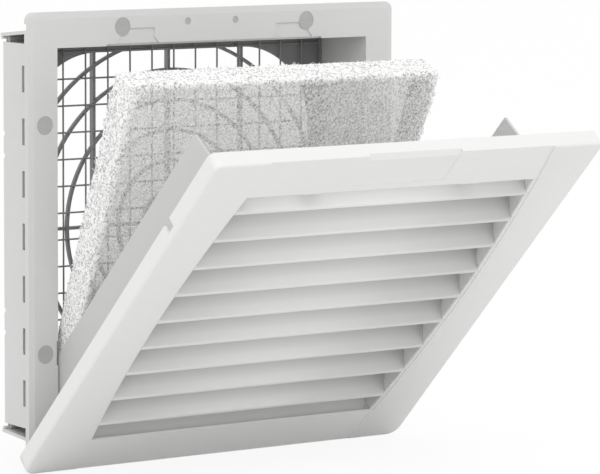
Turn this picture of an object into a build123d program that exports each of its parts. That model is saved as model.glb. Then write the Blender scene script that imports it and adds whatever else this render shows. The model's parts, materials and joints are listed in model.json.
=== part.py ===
from build123d import *
import math
import os

# Square louvred exhaust filter unit for a panel cut-out.
# X runs across the unit, Y runs through the panel towards the rear, Z is up.
# The origin is the centre of the cut-out, on the plane where the gasket meets the panel.
# The cover's pieces are modelled closed, and then turned about the hinge to where it rests.

# ---- driving sizes, mm ----
# flange, collar and gasket
CUTOUT = 291.0            # square panel cut-out that the unit fits
OVERHANG = 12.0           # the flange laps over the panel by this much on each side
FLANGE_R = 6.0            # corner radius of the flange
FLANGE_STAND = 7.5        # the flange's front face stands this far ahead of the panel
FLANGE_PLATE = 2.6        # thickness of the flange plate
BEVEL_WIDTH = 4.6         # bevel round the flange's front face
BEVEL_DEPTH = 0.6
SKIRT_WALL = 2.0          # rim that runs back from the flange's edge
GASKET_PROUD = 2.4        # how far the gasket stands behind the rim
GASKET_GAP = 1.5          # between the gasket and the rim
GASKET_INSET = 1.0        # the gasket's hole clears the cut-out by this much
COLLAR_CLEARANCE = 0.7    # between the locating collar and the cut-out
COLLAR_WALL = 2.0
COLLAR_REACH = 2.2        # how far the collar passes into the panel
SIDE_BAND = 11.8          # the opening's sides lie this far inside the cut-out
CROSS_BAND = 12.9         # the same for its top and bottom edges
RELIEF_HALF = 93.0        # half width of the relief in the opening's top edge
RELIEF_H = 1.4
RAMP_X = 67.0             # latch ramps and hooks lie this far either side of the middle
RAMP_HALF = 14.4          # half width of a ramp at its top
RAMP_FLARE = 3.8          # it widens by this much to each side at its foot
RAMP_H = 12.1             # from the opening's top edge to a ramp's top
RAMP_DEPTH = 0.9
PLUG_R = 6.5              # round recess for a screw position
PLUG_CLEARANCE = 0.05
PLUG_SPACING = 159.0      # between the two screw positions on one side
PLUG_EDGE_X = 13.5        # from the flange's side edges to the screw positions
PLUG_EDGE_Z = 11.7        # the same from its top and bottom edges
PILOT_R = 2.6             # two small blanked positions in the top edge
PILOT_EDGE = 9.3          # from the flange's top edge
# tray, grille and mesh
TRAY_WALL = 2.0
TRAY_BACK = 51.5          # rear end of the tray, behind the panel
CLIP_RIM_T = 4.8          # rim round the tray's rear end that the flaps clip to
CLIP_RIM_OUT = 2.4        # how far it stands out from the tray's sides
GRILLE_T = 2.2            # rear plate of the grille
GRILLE_LEDGE = 8.1        # the plate reaches in from the top and bottom by this much
GRILLE_CORNER_R = 60.0    # corner radius of the grille's opening
RING_FIRST = 22.6         # radius of the smallest ring
RING_PITCH = 21.95        # from ring to ring
RING_BAR = 2.2            # width of a ring's bar
SPOKE_PITCH = 64.4        # the upright spokes stand this far apart
SPOKE_BAR = 2.2           # width of a spoke
SPOKE_DEPTH = 4.4
HUB_R = 10.0
MESH_PITCH = 19.0
MESH_WIRE = 1.3           # wire diameter
MESH_WELD = 0.15          # crossing wires are pressed into each other by this much
MESH_GAP = 0.7            # between the wires and the grille
MESH_LIFT = 2.1           # the mesh is cut this much off centre, upwards
MESH_SHIFT = 1.2          # and this much to the right
# snap flaps
FLAP_T = 2.4
FLAP_GAP = 0.3            # between a flap's root and the rim that it clips to
FLAP_LIP = 1.9            # catch at the free end, behind the panel
FLAP_CLEAR = 1.0          # between the free end and the collar
BEAD_R = 1.2              # bead along a flap's root, in a groove of the rim
BEAD_PROUD = 0.3          # the bead's centre lies this far below the rim's surface
BEAD_CLEARANCE = 0.05
SLOT_PITCH = 36.7         # slots along an upright flap
SLOT_HALF = 9.3
SLOT_Y = 18.8             # front edge of the slots, behind the panel
SLOT_W = 3.8
CATCH_X = 62.5            # clip tongues at a flap's rear edge, from its middle
CATCH_HALF = 7.8
CATCH_NOTCH = 3.2
# cover
COVER_MARGIN = 5.8        # the cover stands out past the flange by this much on each side
COVER_PEAK = 2.0          # its top edge stands out by this much more
COVER_R = 9.0             # radius of the cover's lower corners
COVER_TOP_R = 5.0         # radius of its upper corners
COVER_WALL = 2.2          # side walls of the cover
COVER_PLATE = 2.4         # its face plate
COVER_SET = 4.6           # the cover's datum plane, closed, behind the flange's front face
COVER_DEPTH = 15.9        # from the datum plane to the cover's face
COVER_RIM = 4.0           # the side walls end this far ahead of the datum plane
COVER_OPEN = 45.16        # the cover rests open by this angle
HINGE_RISE = 14.2         # hinge axis above the cover's lower edge
HINGE_BEHIND = 5.0        # hinge axis behind the cover's face
EAR_R = 3.0               # ears on the flange and bosses in the cover
EAR_W = 5.0
EAR_EDGE = 1.5            # from the flange's edge to the ear
EAR_GAP = 0.4             # between an ear and the cover's boss
PIN_R = 1.25
PIN_CLEARANCE = 0.05
STEP_OUT = 2.6            # the stiles' step lies this far outside the louvre opening
FACE_STEP = 0.9           # the louvred middle lies this much below the side stiles
FINGER_HALF = 39.0        # half width of the finger edge
NOTCH_Z = 92.0            # screwdriver notch in each side wall
NOTCH_H = 8.6
# louvres, cheeks and hooks
LOUVRE_RAIL = 2.6         # the louvres end this far inside the flange's opening
LOUVRE_SAG = 8.1          # the louvre opening's sides bow out by this much
LOUVRE_END_T = 0.9        # wall between the bowed opening and a cheek, at mid height
LOUVRE_END_GAP = 0.7      # between the walls at the slat ends and the mat, with the cover closed
SLAT_PITCH = 28.2
SLAT_DEPTH = 18.9         # from the louvred face to a slat's rear edge
SLAT_RISE = 19.5          # how far a slat climbs on the way
SLAT_LIP = 3.4            # height of its rolled front lip
SLAT_HOOK_GAP = 0.7       # between the highest slat and the latch hooks
CHEEK_T = 2.2
CHEEK_CLEARANCE = 1.1     # between a cheek and the side of the flange's opening
CHEEK_MESH_GAP = 5.4      # between the closed cheeks and the mesh
SWING_CLEARANCE = 0.5     # under the opening's top edge as the cover swings
HOOK_HALF = 8.0           # half width of a latch hook
HOOK_T = 3.8
HOOK_REACH = 4.5          # how far a hook reaches behind the flange plate
# mat
MAT_T = 24.0
MAT_SET = 1.9             # the mat's foot stands this far behind the closed louvres
MAT_FOOT_GAP = 0.3        # under its foot
MAT_TOP_GAP = 1.5         # over its top when it stands upright
MAT_SIDE_GAP = 0.5        # between the mat and the cheeks
MAT_LEAN = 22.4           # lean of the mat with the cover open, degrees

CUT = 1.0                 # cutting shapes pass this far through what they cut

# ---- sizes that follow ----
FLANGE = CUTOUT + 2 * OVERHANG
HALF = FLANGE / 2
OPEN_X = CUTOUT / 2 - SIDE_BAND
OPEN_Z = CUTOUT / 2 - CROSS_BAND
FLANGE_FRONT = -FLANGE_STAND
PLATE_BACK = FLANGE_FRONT + FLANGE_PLATE
RIM_OUT = OPEN_X + TRAY_WALL + CLIP_RIM_OUT
BEAD_OUT = RIM_OUT - BEAD_PROUD
GRILLE_FRONT = TRAY_BACK - GRILLE_T
BEAD_Y = GRILLE_FRONT
GRILLE_HALF = OPEN_Z - GRILLE_LEDGE
MESH_ACROSS_Y = GRILLE_FRONT - MESH_GAP - MESH_WIRE / 2
MESH_UP_Y = MESH_ACROSS_Y - MESH_WIRE + MESH_WELD
MESH_FRONT = MESH_UP_Y - MESH_WIRE / 2 - 0.1
COVER = FLANGE + 2 * COVER_MARGIN
COVER_TOP = COVER / 2 + COVER_PEAK
COVER_DATUM = FLANGE_FRONT + COVER_SET
FACE_Y = COVER_DATUM - COVER_DEPTH
PLATE_Y = FACE_Y + COVER_PLATE
HINGE_Y = FACE_Y + HINGE_BEHIND
HINGE_Z = -COVER / 2 + HINGE_RISE
EAR_OUT = HALF - EAR_EDGE
CHEEK_IN = OPEN_X - CHEEK_CLEARANCE - CHEEK_T
CHEEK_BACK = MESH_FRONT - CHEEK_MESH_GAP
LOUVRE_HALF_W = CHEEK_IN - LOUVRE_END_T
LOUVRE_HALF_H = OPEN_Z - LOUVRE_RAIL
ARC_R = (LOUVRE_HALF_H ** 2 + LOUVRE_SAG ** 2) / (2 * LOUVRE_SAG)
SWING_R = OPEN_Z - SWING_CLEARANCE - HINGE_Z
HOOK_TOP = OPEN_Z - 1.0
MAT_W = 2 * (CHEEK_IN - MAT_SIDE_GAP)
MAT_H = 2 * OPEN_Z - MAT_FOOT_GAP - MAT_TOP_GAP
MAT_FOOT_Y = FACE_Y + SLAT_DEPTH + MAT_SET
MAT_FOOT_Z = -OPEN_Z + MAT_FOOT_GAP


def box(x0, x1, y0, y1, z0, z1):
    """Block between two corners."""
    size = (x1 - x0, y1 - y0, z1 - z0)
    return Pos((x0 + x1) / 2, (y0 + y1) / 2, (z0 + z1) / 2) * Box(*size)


def side_box(side, x0, x1, y0, y1, z0, z1):
    """Block on one side, with x0 and x1 measured outwards from the middle."""
    low, high = sorted((side * x0, side * x1))
    return box(low, high, y0, y1, z0, z1)


def slab(half_w, half_h, y0, y1, radius=0.0):
    """Upright plate centred on the Y axis, with rounded corners, from y0 back to y1."""
    outline = Rectangle(2 * half_w, 2 * half_h)
    if radius > 0:
        outline = RectangleRounded(2 * half_w, 2 * half_h, radius)
    plane = Plane((0, y0, 0), x_dir=(1, 0, 0), z_dir=(0, 1, 0))
    return extrude(plane * outline, amount=y1 - y0)


def prism_y(points, y0, y1):
    """Prism with an outline of (x, z) points, from y0 back to y1."""
    outline = make_face(Polyline(*[(x, y0, z) for x, z in points], close=True))
    return extrude(outline, amount=y1 - y0, dir=(0, 1, 0))


def prism_x(points, x0, x1):
    """Prism with an outline of (y, z) points, from x0 across to x1."""
    low, high = sorted((x0, x1))
    outline = make_face(Polyline(*[(low, y, z) for y, z in points], close=True))
    return extrude(outline, amount=high - low, dir=(1, 0, 0))


def rod_x(x0, x1, y, z, radius):
    """Round bar along X."""
    low, high = sorted((x0, x1))
    plane = Plane((low, y, z), x_dir=(0, 1, 0), z_dir=(1, 0, 0))
    return extrude(plane * Circle(radius), amount=high - low)


def rod_y(x, z, y0, y1, radius):
    """Round bar along Y."""
    plane = Plane((x, y0, z), x_dir=(1, 0, 0), z_dir=(0, 1, 0))
    return extrude(plane * Circle(radius), amount=y1 - y0)


def opened(part):
    """Turns a piece of the closed cover about the hinge to where it rests."""
    axis = Axis((0, HINGE_Y, HINGE_Z), (1, 0, 0))
    return part.rotate(axis, COVER_OPEN)


# ---------------------------------------------------------------- the frame

def latch_ramp(middle):
    """Shallow flared recess that leads a cover hook to the opening's top edge."""
    foot = OPEN_Z - CUT
    wide = RAMP_HALF + RAMP_FLARE
    points = [
        (middle - RAMP_HALF, OPEN_Z + RAMP_H),
        (middle + RAMP_HALF, OPEN_Z + RAMP_H),
        (middle + RAMP_HALF, foot + 6.5),
        (middle + wide, foot + 2.4),
        (middle + wide, foot),
        (middle - wide, foot),
        (middle - wide, foot + 2.4),
        (middle - RAMP_HALF, foot + 6.5),
    ]
    return prism_y(points, FLANGE_FRONT - CUT, FLANGE_FRONT + RAMP_DEPTH)


def plug_places():
    """Centres of the eight blanked screw positions, two on each side of the flange."""
    along = PLUG_SPACING / 2
    edge_x, edge_z = HALF - PLUG_EDGE_X, HALF - PLUG_EDGE_Z
    across = [(x, z) for z in (-edge_z, edge_z) for x in (-along, along)]
    upright = [(x, z) for x in (-edge_x, edge_x) for z in (-along, along)]
    return across + upright


def pilot_places():
    """Centres of the two small blanked positions above the relief."""
    return [(x, HALF - PILOT_EDGE) for x in (-24.1, 17.0)]


def hinge_ear(side):
    """Ear on the flange that carries one hinge pin."""
    inner, outer = EAR_OUT - EAR_W, EAR_OUT
    low, high = HINGE_Z - EAR_R, HINGE_Z + EAR_R
    web = side_box(side, inner, outer, HINGE_Y, FLANGE_FRONT + 0.5, low, high)
    nose = rod_x(side * inner, side * outer, HINGE_Y, HINGE_Z, EAR_R)
    reach = (side * (inner - CUT), side * (outer + CUT))
    bore = rod_x(*reach, HINGE_Y, HINGE_Z, PIN_R + PIN_CLEARANCE)
    return web + nose - bore


def flange_plate():
    """Flange plate with a bevelled front edge and the rim behind it."""
    plate = slab(HALF, HALF, FLANGE_FRONT, PLATE_BACK, FLANGE_R)
    front = plate.faces().sort_by(Axis.Y)[0]
    plate = chamfer(front.edges(), length=BEVEL_WIDTH, length2=BEVEL_DEPTH, reference=front)
    skirt = slab(HALF, HALF, PLATE_BACK, -GASKET_PROUD, FLANGE_R)
    inner = HALF - SKIRT_WALL
    skirt -= slab(inner, inner, PLATE_BACK - CUT, CUT, FLANGE_R - SKIRT_WALL)
    near, far, half_gap = HALF - 3.0, HALF + CUT, 2.2
    for spot in (-HALF + 10.1, HALF - 10.1):
        low, high = spot - half_gap, spot + half_gap
        for side in (-1, 1):
            skirt -= side_box(side, near, far, PLATE_BACK, CUT, low, high)
            start, end = sorted((side * near, side * far))
            skirt -= box(low, high, PLATE_BACK, CUT, start, end)
    return plate + skirt


def flange_frame():
    """Flange with its locating collar, latch ramps, screw positions and hinge ears."""
    outside = CUTOUT / 2 - COLLAR_CLEARANCE
    inside = outside - COLLAR_WALL
    collar = slab(outside, outside, PLATE_BACK, COLLAR_REACH, 2.5)
    collar -= slab(inside, inside, PLATE_BACK - CUT, COLLAR_REACH + CUT, 1.0)
    body = flange_plate() + collar
    front, back = FLANGE_FRONT - CUT, PLATE_BACK + CUT
    body -= slab(OPEN_X, OPEN_Z, front, back)
    body -= box(-RELIEF_HALF, RELIEF_HALF, front, back, OPEN_Z - CUT, OPEN_Z + RELIEF_H)
    notch_top = -OPEN_Z + 61.8
    for side in (-1, 1):
        body -= latch_ramp(side * RAMP_X)
        # finger notch in each side of the opening
        reach = (OPEN_X - CUT, OPEN_X + 1.2)
        body -= side_box(side, *reach, front, PLATE_BACK - 0.8, notch_top - 16.9, notch_top)
    for x, z in plug_places():
        body -= rod_y(x, z, front, FLANGE_FRONT + 1.0, PLUG_R)
    for x, z in pilot_places():
        body -= rod_y(x, z, front, FLANGE_FRONT + 1.0, PILOT_R)
    return body + hinge_ear(-1) + hinge_ear(1)


def screw_plugs():
    """Thin round blanks in the flange's screw positions, large and small."""
    y0, y1 = FLANGE_FRONT + 0.35, FLANGE_FRONT + 1.0
    large = [rod_y(x, z, y0, y1, PLUG_R - PLUG_CLEARANCE) for x, z in plug_places()]
    small = [rod_y(x, z, y0, y1, PILOT_R - PLUG_CLEARANCE) for x, z in pilot_places()]
    return large + small


def panel_gasket():
    """Foam ring between the flange and the panel."""
    outside = HALF - SKIRT_WALL - GASKET_GAP
    inside = CUTOUT / 2 + GASKET_INSET
    ring = slab(outside, outside, PLATE_BACK, 0.0, 3.0)
    return ring - slab(inside, inside, PLATE_BACK - CUT, CUT, 2.0)


def housing_tray():
    """Square tube behind the flange that holds the mat, with the rim that the flaps clip to."""
    tube = slab(OPEN_X + TRAY_WALL, OPEN_Z + TRAY_WALL, PLATE_BACK, TRAY_BACK, 3.0)
    tube += slab(RIM_OUT, RIM_OUT, TRAY_BACK - CLIP_RIM_T, TRAY_BACK)
    tube -= slab(OPEN_X, OPEN_Z, PLATE_BACK - CUT, TRAY_BACK + CUT)
    end = RIM_OUT + CUT
    for turn in range(4):
        groove = rod_x(-end, end, BEAD_Y, BEAD_OUT, BEAD_R + BEAD_CLEARANCE)
        tube -= groove.rotate(Axis.Y, 90 * turn)
    return tube


def grille_rings(y0, y1):
    """Concentric rings, as many as reach into the opening's corners."""
    corner = GRILLE_HALF * math.sqrt(2) - GRILLE_CORNER_R * (math.sqrt(2) - 1)
    count = 1 + int((corner - RING_FIRST) / RING_PITCH)
    half_bar = RING_BAR / 2
    rings = None
    for i in range(count):
        radius = RING_FIRST + i * RING_PITCH
        ring = rod_y(0, 0, y0, y1, radius + half_bar)
        ring -= rod_y(0, 0, y0 - CUT, y1 + CUT, radius - half_bar)
        rings = ring if rings is None else rings + ring
    return rings


def rear_grille():
    """Rear plate with a rounded opening, concentric rings and deep spokes."""
    seat = 0.05
    plate = slab(OPEN_X - seat, OPEN_Z - seat, GRILLE_FRONT, TRAY_BACK)
    hole = (GRILLE_FRONT - CUT, TRAY_BACK + CUT, GRILLE_CORNER_R)
    plate -= slab(GRILLE_HALF, GRILLE_HALF, *hole)
    ring_back = TRAY_BACK + 0.5
    reach = GRILLE_HALF + 2.0
    bars = grille_rings(GRILLE_FRONT, ring_back)
    bars &= box(-reach, reach, GRILLE_FRONT - CUT, ring_back + CUT, -reach, reach)
    spoke_front = TRAY_BACK - 0.2
    spoke_back = spoke_front + SPOKE_DEPTH
    half = SPOKE_BAR / 2
    for x in (-SPOKE_PITCH, 0, SPOKE_PITCH):
        bars += box(x - half, x + half, spoke_front, spoke_back, -reach, reach)
    bars += box(-reach, reach, spoke_front, spoke_back, -half, half)
    bars -= rod_y(0, 0, GRILLE_FRONT - CUT, spoke_back + CUT, HUB_R - 1.0)
    hub = rod_y(0, 0, GRILLE_FRONT, spoke_back, HUB_R)
    return plate + bars + hub


def insect_mesh():
    """Welded square mesh just ahead of the grille, in a border of thicker wire."""
    radius = MESH_WIRE / 2
    half_x, half_z = OPEN_X - 1.6, OPEN_Z - 1.6
    across = int((half_x - MESH_SHIFT) / MESH_PITCH)
    up = int((half_z - MESH_LIFT) / MESH_PITCH + 0.5)
    border = slab(half_x + 0.8, half_z + 0.8, MESH_FRONT, GRILLE_FRONT)
    grid = border - slab(half_x - 0.8, half_z - 0.8, MESH_FRONT - CUT, TRAY_BACK)
    for i in range(-across, across + 1):
        start = (MESH_SHIFT + i * MESH_PITCH, MESH_UP_Y, -half_z)
        plane = Plane(start, x_dir=(1, 0, 0), z_dir=(0, 0, 1))
        grid += extrude(plane * Circle(radius), amount=2 * half_z)
    for i in range(-up, up):
        z = MESH_LIFT + (i + 0.5) * MESH_PITCH
        grid += rod_x(-half_x, half_x, MESH_ACROSS_Y, z, radius)
    return grid


def snap_flap(half_length, with_slots):
    """Sprung flap above the tray, splayed outwards to its free end, lying along X."""
    rear_y, free_y = TRAY_BACK - 0.5, COLLAR_REACH + FLAP_CLEAR
    rear_out = RIM_OUT + FLAP_GAP + FLAP_T
    free_out = CUTOUT / 2 - 0.1
    slope = (free_out - rear_out) / (rear_y - free_y)
    lip_out = free_out + FLAP_LIP
    profile = [
        (rear_y, rear_out),
        (free_y + 9.0, rear_out + slope * (rear_y - free_y - 9.0)),
        (free_y + 2.0, lip_out),
        (free_y, lip_out),
        (free_y, free_out - FLAP_T),
        (rear_y, rear_out - FLAP_T),
    ]
    flap = prism_x(profile, -half_length, half_length)
    flap += rod_x(-half_length, half_length, BEAD_Y, BEAD_OUT, BEAD_R)
    if with_slots:
        low, high = RIM_OUT, lip_out + CUT
        count = int((half_length - 2 * SLOT_HALF) / SLOT_PITCH)
        for i in range(-count, count + 1):
            start, end = i * SLOT_PITCH - SLOT_HALF, i * SLOT_PITCH + SLOT_HALF
            flap -= box(start, end, SLOT_Y, SLOT_Y + SLOT_W, low, high)
        low, high = RIM_OUT - 2.1, rear_out + CUT
        half = CATCH_NOTCH / 2
        for middle in (-CATCH_X, CATCH_X):
            for edge in (middle - CATCH_HALF, middle + CATCH_HALF):
                flap -= box(edge - half, edge + half, rear_y - 1.6, rear_y + CUT, low, high)
    return flap


def flap_at(name):
    """Snap flap on one side of the tray. The upright ones fit between the other two."""
    turn = {"top": 0, "right": 90, "bottom": 180, "left": 270}[name]
    upright = name in ("left", "right")
    half_length = RIM_OUT - 3.5 if upright else CUTOUT / 2 - 2.5
    return snap_flap(half_length, upright).rotate(Axis.Y, turn)


# ---------------------------------------------------------------- the cover

def cover_outline(inset, y0, y1):
    """Upright plate in the cover's outline, drawn in by an inset, from y0 back to y1."""
    half, top = COVER / 2 - inset, COVER_TOP - inset
    upper, lower = COVER_TOP_R - inset, COVER_R - inset
    block = box(-half, half, y0, y1, -half, top)
    upright = block.edges().filter_by(Axis.Y)
    block = fillet(upright.filter_by(lambda edge: edge.center().Z > 0), upper)
    upright = block.edges().filter_by(Axis.Y)
    return fillet(upright.filter_by(lambda edge: edge.center().Z < -half + 1e-3), lower)


def between_arcs(offset, y0, y1, z0, z1):
    """Space between two bowed sides, offset outwards from the louvre opening."""
    centre = LOUVRE_HALF_W - ARC_R
    right = rod_y(centre, 0, y0, y1, ARC_R + offset)
    left = rod_y(-centre, 0, y0, y1, ARC_R + offset)
    half = COVER / 2
    return box(-half, half, y0, y1, z0, z1) & right & left


def finger_cut():
    """What is cut from the cover's top edge to leave the finger edge and the bare field."""
    top = COVER_TOP
    front = FACE_Y - CUT
    points = [
        (front, top - 4.0),
        (FACE_Y + FACE_STEP, top - 5.4),
        (FACE_Y + 3.4, top + 0.4),
        (front, top + CUT),
    ]
    edge = prism_x(points, -FINGER_HALF, FINGER_HALF)
    low, high = top - 30.0, top - 4.6
    depth = FACE_Y + FACE_STEP + 0.35
    return edge + box(-FINGER_HALF, FINGER_HALF, front, depth, low, high)


def cover_side(shell, side):
    """Adds one side's hinge boss, and cuts its notches, ear pocket and pin hole."""
    half = COVER / 2
    back = COVER_DATUM - COVER_RIM
    inner = half - COVER_WALL
    shell -= side_box(side, half - 3, half + CUT, FACE_Y + 4.8, back + CUT, NOTCH_Z, NOTCH_Z + NOTCH_H)
    pocket = (EAR_OUT - EAR_W - 0.8, EAR_OUT + 0.3)
    low, high = HINGE_Z - EAR_R - 1.6, HINGE_Z + EAR_R + 1.6
    shell -= side_box(side, *pocket, FACE_Y + 1.5, back, low, high)
    start, end = EAR_OUT + EAR_GAP, inner + 0.5
    shell += rod_x(side * start, side * end, HINGE_Y, HINGE_Z, EAR_R)
    low, high = HINGE_Z - EAR_R, HINGE_Z + EAR_R
    shell += side_box(side, start, end, PLATE_Y - 0.5, HINGE_Y, low, high)
    shell -= rod_x(side * pocket[0], side * inner, HINGE_Y, HINGE_Z, PIN_R)
    # the rear lower corner of the side wall is cut away
    corner = [(back - 6.5, -half - CUT), (back + CUT, -half - CUT), (back + CUT, -half + 6.5)]
    return shell - prism_x(corner, side * (half - 8), side * (half + CUT))


def swing_relief(back):
    """Room behind the bottom rail for the flange's lower edge when the cover is open."""
    edge_y, edge_z = FLANGE_FRONT + BEVEL_DEPTH - HINGE_Y, -HALF - HINGE_Z
    turn = math.radians(COVER_OPEN)
    nearest = HINGE_Y + edge_y * math.cos(turn) + edge_z * math.sin(turn)
    low = HINGE_Z - math.hypot(edge_y, edge_z) - SWING_CLEARANCE
    reach = HALF + 0.5
    return box(-reach, reach, nearest - SWING_CLEARANCE, back, low, HINGE_Z - EAR_R - 0.1)


def cover_frame():
    """Face plate of the cover with its side walls, finger edge and hinge bosses."""
    half = COVER / 2
    back = COVER_DATUM - COVER_RIM
    shell = cover_outline(0.0, FACE_Y, back)
    front = shell.faces().sort_by(Axis.Y)[0]
    shell = fillet(front.edges(), 1.8)
    shell -= cover_outline(COVER_WALL, PLATE_Y, back + CUT)
    # the bottom wall stops short, so that it swings clear of the flange
    inner = half - COVER_WALL
    shell -= box(-inner, inner, HINGE_Y - 1.9, back + CUT, -half - CUT, -half + 8)
    shell -= swing_relief(back)
    shell -= between_arcs(STEP_OUT, FACE_Y - CUT, FACE_Y + FACE_STEP, -half, COVER_TOP)
    ends = (-LOUVRE_HALF_H, LOUVRE_HALF_H)
    shell -= between_arcs(0.0, FACE_Y - CUT, PLATE_Y + CUT, *ends)
    shell -= finger_cut()
    for side in (-1, 1):
        shell = cover_side(shell, side)
    return opened(shell)


def hinge_pin(side):
    """Steel pin held in the cover's boss, turning in the flange's ear."""
    inner, outer = EAR_OUT - EAR_W - 0.4, COVER / 2 - COVER_WALL
    return opened(rod_x(side * inner, side * outer, HINGE_Y, HINGE_Z, PIN_R))


def slat_profile(lip_z):
    """Section of one slat: a rolled lip at the face, then a hollow curve up to the rear."""
    face = FACE_Y + FACE_STEP + 0.1
    steps = 6
    under, over = [], []
    for k in range(steps + 1):
        t = k / steps
        climb = SLAT_RISE * 0.55 * t * t
        under.append((face + SLAT_DEPTH * t, lip_z + SLAT_RISE * 0.45 * t + climb))
        thinning = SLAT_DEPTH * (0.83 * t + 0.07 * t * t)
        over.append((face + thinning, lip_z + SLAT_LIP + SLAT_RISE * 0.36 * t + climb))
    lip = [(face - 0.6, lip_z + SLAT_LIP - 0.8), (face - 0.6, lip_z + 0.8)]
    return under + over[::-1] + lip


def louvre_slats():
    """Slats across the cover, cut to the bowed sides of the opening."""
    y0, y1 = FACE_Y - CUT, FACE_Y + SLAT_DEPTH + 4.0
    highest = HOOK_TOP - HOOK_T - 0.6 - SLAT_HOOK_GAP
    bound = between_arcs(-0.02, y0, y1, -LOUVRE_HALF_H, highest)
    half_count = int((LOUVRE_HALF_H - 10.0) / SLAT_PITCH)
    end = LOUVRE_HALF_W + CUT
    slats = []
    for i in range(-half_count, half_count + 1):
        slat = prism_x(slat_profile(-i * SLAT_PITCH), -end, end)
        slats.append(opened(slat & bound))
    return slats


def sill_slat():
    """Plain sloping strip behind the bottom rail that closes the lowest gap."""
    y, z = PLATE_Y, -LOUVRE_HALF_H - 6.0
    section = [
        (y, z),
        (y, z + 2.4),
        (y + 6.0, z + 6.4),
        (y + 16.0, z + 15.4),
        (y + 17.4, z + 13.8),
        (y + 7.0, z + 4.0),
    ]
    half = LOUVRE_HALF_W - LOUVRE_SAG - 0.4
    return opened(prism_x(section, -half, half))


def louvre_end(side):
    """Upright wall that closes the slat ends behind the bowed edge of the opening."""
    y0, y1 = PLATE_Y, MAT_FOOT_Y - LOUVRE_END_GAP
    inner = LOUVRE_HALF_W - LOUVRE_SAG - CUT
    height = (-LOUVRE_HALF_H, LOUVRE_HALF_H)
    block = side_box(side, inner, CHEEK_IN - 0.02, y0, y1, *height)
    centre = side * (LOUVRE_HALF_W - ARC_R)
    return opened(block - rod_y(centre, 0, y0 - CUT, y1 + CUT, ARC_R))


def swing_height(y):
    """Highest place at depth y that passes under the opening's top edge."""
    return HINGE_Z + math.sqrt(SWING_R ** 2 - (y - HINGE_Y) ** 2)


def cheek(side):
    """Side wall on the cover that flanks the mat and swings into the tray."""
    foot = -LOUVRE_HALF_H - 1.0
    top = swing_height(COVER_DATUM)
    outline = [
        (PLATE_Y, foot),
        (PLATE_Y, top),
        (COVER_DATUM, top),
        (CHEEK_BACK, swing_height(CHEEK_BACK)),
        (CHEEK_BACK, foot),
    ]
    return opened(prism_x(outline, side * CHEEK_IN, side * (CHEEK_IN + CHEEK_T)))


def latch_hook(side):
    """Tongue behind the cover's top rail that slides under the opening's top edge."""
    end = PLATE_BACK + HOOK_REACH
    under = HOOK_TOP - HOOK_T - 0.6
    outline = [
        (PLATE_Y, under),
        (PLATE_Y, HOOK_TOP - 0.6),
        (FLANGE_FRONT, HOOK_TOP),
        (PLATE_BACK + 0.6, HOOK_TOP),
        (end, HOOK_TOP - 1.4),
        (end, HOOK_TOP - 2.8),
    ]
    middle = side * RAMP_X
    return opened(prism_x(outline, middle - HOOK_HALF, middle + HOOK_HALF))


# ---------------------------------------------------------------- the mat

def filter_mat():
    """Filter mat, standing on the tray's floor and leaning out of it."""
    depth = (MAT_FOOT_Y, MAT_FOOT_Y + MAT_T)
    mat = box(-MAT_W / 2, MAT_W / 2, *depth, MAT_FOOT_Z, MAT_FOOT_Z + MAT_H)
    return mat.rotate(Axis((0, MAT_FOOT_Y, MAT_FOOT_Z), (1, 0, 0)), MAT_LEAN)


PIECES = {
    "flange_frame": flange_frame,
    "screw_plugs": screw_plugs,
    "panel_gasket": panel_gasket,
    "housing_tray": housing_tray,
    "rear_grille": rear_grille,
    "insect_mesh": insect_mesh,
    "snap_flap_top": lambda: flap_at("top"),
    "snap_flap_bottom": lambda: flap_at("bottom"),
    "snap_flap_left": lambda: flap_at("left"),
    "snap_flap_right": lambda: flap_at("right"),
    "cover_frame": cover_frame,
    "hinge_pin_left": lambda: hinge_pin(-1),
    "hinge_pin_right": lambda: hinge_pin(1),
    "louvre_slats": louvre_slats,
    "sill_slat": sill_slat,
    "louvre_end_left": lambda: louvre_end(-1),
    "louvre_end_right": lambda: louvre_end(1),
    "cheek_left": lambda: cheek(-1),
    "cheek_right": lambda: cheek(1),
    "latch_hook_left": lambda: latch_hook(-1),
    "latch_hook_right": lambda: latch_hook(1),
    "filter_mat": filter_mat,
}


def main():
    os.makedirs("parts", exist_ok=True)
    for name, make in PIECES.items():
        made = make()
        solids = made if isinstance(made, list) else made.solids()
        shape = Compound(children=list(solids)) if len(solids) > 1 else solids[0]
        export_step(shape, f"parts/{name}.step")
        print(name, len(solids), "solids", round(shape.volume))


main()
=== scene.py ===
import json
import math
import random

import bmesh
import bpy
from mathutils import Matrix, Vector, noise

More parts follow.
